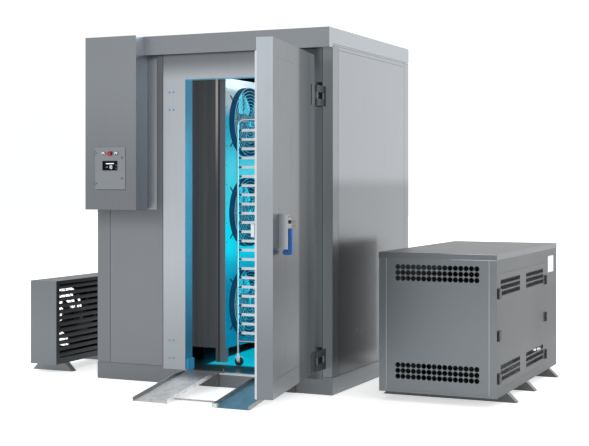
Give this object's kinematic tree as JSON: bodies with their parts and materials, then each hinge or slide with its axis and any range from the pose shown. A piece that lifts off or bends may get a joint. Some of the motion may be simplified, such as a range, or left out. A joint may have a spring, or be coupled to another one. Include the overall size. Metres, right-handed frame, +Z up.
{
  "type": "roll-in blast chiller",
  "caption": "Walk-in insulated blast chiller with hinged door, control box, fan wall, rack trolley, loading ramp, condensing unit and remote condenser.",
  "frame": {"origin": "centre of the cabinet's base rectangle, on the ground", "axes": "+X to the right seen from the front, towards the condensing unit; +Y to the back; +Z up"},
  "size_m": [3.656, 2.8062, 2.4],
  "materials": {
    "panel_steel": "fine horizontal grain, satin",
    "bright_steel": "smooth, lighter",
    "galvanised": "galvanised sheet",
    "unit_sheet": "satin sheet",
    "column_steel": "satin",
    "white_panel": "white, semi-gloss",
    "coil_fins": "plain fins",
    "fan_black": "black, satin",
    "guard_wire": "bright wire",
    "lamp": "lit diffuser",
    "rubber": "matt",
    "brass": "satin",
    "blue_plastic": "fine grain",
    "control_plastic": "plain",
    "display_black": "dark window",
    "red_plastic": "red mushroom head",
    "trolley_alloy": "satin",
    "clip_plastic": "black",
    "castor_white": "white",
    "castor_black": "black tread",
    "compressor_black": "painted black",
    "tube_copper": "bare tube"
  },
  "bodies": {
    "cabinet": {"floor_panel": "panel_steel", "left_wall": "panel_steel", "right_wall": "panel_steel", "rear_wall": "panel_steel", "front_wall": "panel_steel", "door_frame": "panel_steel", "threshold_strip": "bright_steel", "roof_panel": "panel_steel", "roof_fascia": "panel_steel", "evaporator_housing": "column_steel", "fan_panel": "white_panel", "evaporator_coil": "coil_fins", "fan_shrouds": "fan_black", "fan_guards": "guard_wire", "light_bars": "lamp", "frame_fittings": "panel_steel", "control_box": "panel_steel", "control_gear": "control_plastic", "unit_housing": "unit_sheet", "unit_lid": "unit_sheet", "unit_feet": "galvanised", "compressor": "compressor_black", "condenser_housing": "unit_sheet", "condenser_coil": "tube_copper", "condenser_guard": "fan_black"},
    "door": {"door_leaf": "panel_steel", "door_liner": "bright_steel", "door_seals": "rubber", "door_hinges": "panel_steel", "latch_housing": "bright_steel", "lock_cylinder": "brass"},
    "hatch": {"control_door": "panel_steel", "display": "display_black"},
    "trolley": {"trolley_frame": "trolley_alloy", "rail_clips": "clip_plastic"},
    "upper_fan": {"upper_fan": "fan_black"},
    "middle_fan": {"middle_fan": "fan_black"},
    "lower_fan": {"lower_fan": "fan_black"},
    "latch_handle": {"latch_handle": "blue_plastic"},
    "lock_key": {"lock_key": "brass"},
    "release_knob": {"release_knob": "bright_steel"},
    "start_button": {"start_button": "control_plastic"},
    "stop_button": {"stop_button": "red_plastic"},
    "light_button": {"light_button": "control_plastic"},
    "upper_lock": {"upper_lock": "bright_steel"},
    "lower_lock": {"lower_lock": "bright_steel"},
    "ramp": {"ramp": "galvanised"},
    "front_left_fork": {"front_left_fork": "castor_white"},
    "front_right_fork": {"front_right_fork": "castor_white"},
    "rear_left_fork": {"rear_left_fork": "castor_white"},
    "rear_right_fork": {"rear_right_fork": "castor_white"},
    "front_left_wheel": {"front_left_wheel": "castor_black"},
    "front_right_wheel": {"front_right_wheel": "castor_black"},
    "rear_left_wheel": {"rear_left_wheel": "castor_black"},
    "rear_right_wheel": {"rear_right_wheel": "castor_black"},
    "unit_door": {"unit_door": "unit_sheet"},
    "upper_latch": {"upper_latch": "clip_plastic"},
    "middle_latch": {"middle_latch": "clip_plastic"},
    "lower_latch": {"lower_latch": "clip_plastic"},
    "condenser_fan": {"condenser_fan": "fan_black"}
  },
  "joints": [
    {"name": "door_swing", "type": "hinge", "parent": "cabinet", "child": "door", "pos_m": [0.844, -0.87, 1], "axis": [0, 0, 1], "range_deg": [-100.8, 30]},
    {"name": "handle_pull", "type": "hinge", "parent": "door", "child": "latch_handle", "pos_m": [1.03093, -1.74853, 0.989], "axis": [-0.1874, 0.9823, 0], "range_deg": [0, 40], "stiffness_Nm_per_rad": 3, "springref_deg": -28.65},
    {"name": "key_turn", "type": "hinge", "parent": "door", "child": "lock_key", "pos_m": [1.07219, -1.74066, 1.16331], "axis": [0.9823, 0.1874, 0], "range_deg": [0, 90]},
    {"name": "release_push", "type": "slide", "parent": "door", "child": "release_knob", "axis": [0.9823, 0.1874, 0], "range_m": [0, 0.015], "stiffness_N_per_m": 400, "springref_m": -0.01},
    {"name": "hatch_swing", "type": "hinge", "parent": "cabinet", "child": "hatch", "pos_m": [-0.829, -0.907, 1.4875], "axis": [0, 0, -1], "range_deg": [0, 110]},
    {"name": "start_push", "type": "slide", "parent": "hatch", "child": "start_button", "axis": [0, 1, 0], "range_m": [0, 0.003], "stiffness_N_per_m": 500, "springref_m": -0.001},
    {"name": "stop_push", "type": "slide", "parent": "hatch", "child": "stop_button", "axis": [0, 1, 0], "range_m": [0, 0.004], "stiffness_N_per_m": 500, "springref_m": -0.001},
    {"name": "light_push", "type": "slide", "parent": "hatch", "child": "light_button", "axis": [0, 1, 0], "range_m": [0, 0.003], "stiffness_N_per_m": 500, "springref_m": -0.001},
    {"name": "upper_lock_turn", "type": "hinge", "parent": "hatch", "child": "upper_lock", "pos_m": [-0.607, -0.903, 1.56], "axis": [0, 1, 0], "range_deg": [0, 90]},
    {"name": "lower_lock_turn", "type": "hinge", "parent": "hatch", "child": "lower_lock", "pos_m": [-0.607, -0.903, 1.417], "axis": [0, 1, 0], "range_deg": [0, 90]},
    {"name": "upper_fan_spin", "type": "hinge", "parent": "cabinet", "child": "upper_fan", "pos_m": [-0.111, -0.018, 1.832], "axis": [1, 0, 0], "continuous": true},
    {"name": "middle_fan_spin", "type": "hinge", "parent": "cabinet", "child": "middle_fan", "pos_m": [-0.111, -0.018, 1.171], "axis": [1, 0, 0], "continuous": true},
    {"name": "lower_fan_spin", "type": "hinge", "parent": "cabinet", "child": "lower_fan", "pos_m": [-0.111, -0.018, 0.51], "axis": [1, 0, 0], "continuous": true},
    {"name": "trolley_roll", "type": "slide", "parent": "cabinet", "child": "trolley", "axis": [0, -1, 0], "range_m": [0, 1.25]},
    {"name": "front_left_swivel", "type": "hinge", "parent": "trolley", "child": "front_left_fork", "pos_m": [0.052, -0.428, 0.191], "axis": [0, 0, 1], "continuous": true},
    {"name": "front_right_swivel", "type": "hinge", "parent": "trolley", "child": "front_right_fork", "pos_m": [0.504, -0.428, 0.191], "axis": [0, 0, 1], "continuous": true},
    {"name": "rear_left_swivel", "type": "hinge", "parent": "trolley", "child": "rear_left_fork", "pos_m": [0.052, 0.174, 0.191], "axis": [0, 0, 1], "continuous": true},
    {"name": "rear_right_swivel", "type": "hinge", "parent": "trolley", "child": "rear_right_fork", "pos_m": [0.504, 0.174, 0.191], "axis": [0, 0, 1], "continuous": true},
    {"name": "front_left_roll", "type": "hinge", "parent": "front_left_fork", "child": "front_left_wheel", "pos_m": [0.06, -0.428, 0.1313], "axis": [0, 1, 0], "continuous": true},
    {"name": "front_right_roll", "type": "hinge", "parent": "front_right_fork", "child": "front_right_wheel", "pos_m": [0.512, -0.428, 0.1313], "axis": [0, 1, 0], "continuous": true},
    {"name": "rear_left_roll", "type": "hinge", "parent": "rear_left_fork", "child": "rear_left_wheel", "pos_m": [0.06, 0.174, 0.1313], "axis": [0, 1, 0], "continuous": true},
    {"name": "rear_right_roll", "type": "hinge", "parent": "rear_right_fork", "child": "rear_right_wheel", "pos_m": [0.512, 0.174, 0.1313], "axis": [0, 1, 0], "continuous": true},
    {"name": "ramp_slide", "type": "slide", "parent": "cabinet", "child": "ramp", "axis": [0, 1, 0], "range_m": [-0.35, 0]},
    {"name": "unit_door_swing", "type": "hinge", "parent": "cabinet", "child": "unit_door", "pos_m": [2.016, 0.505, 0.469], "axis": [0, 0, 1], "range_deg": [0, 110]},
    {"name": "upper_latch_turn", "type": "hinge", "parent": "unit_door", "child": "upper_latch", "pos_m": [2.008, -0.724, 0.703], "axis": [1, 0, 0], "range_deg": [0, 90]},
    {"name": "middle_latch_turn", "type": "hinge", "parent": "unit_door", "child": "middle_latch", "pos_m": [2.008, -0.724, 0.442], "axis": [1, 0, 0], "range_deg": [0, 90]},
    {"name": "lower_latch_turn", "type": "hinge", "parent": "unit_door", "child": "lower_latch", "pos_m": [2.008, -0.724, 0.178], "axis": [1, 0, 0], "range_deg": [0, 90]},
    {"name": "condenser_fan_spin", "type": "hinge", "parent": "cabinet", "child": "condenser_fan", "pos_m": [-1.42908, -0.252, 0.3645], "axis": [1, 0, 0], "continuous": true}
  ]
}
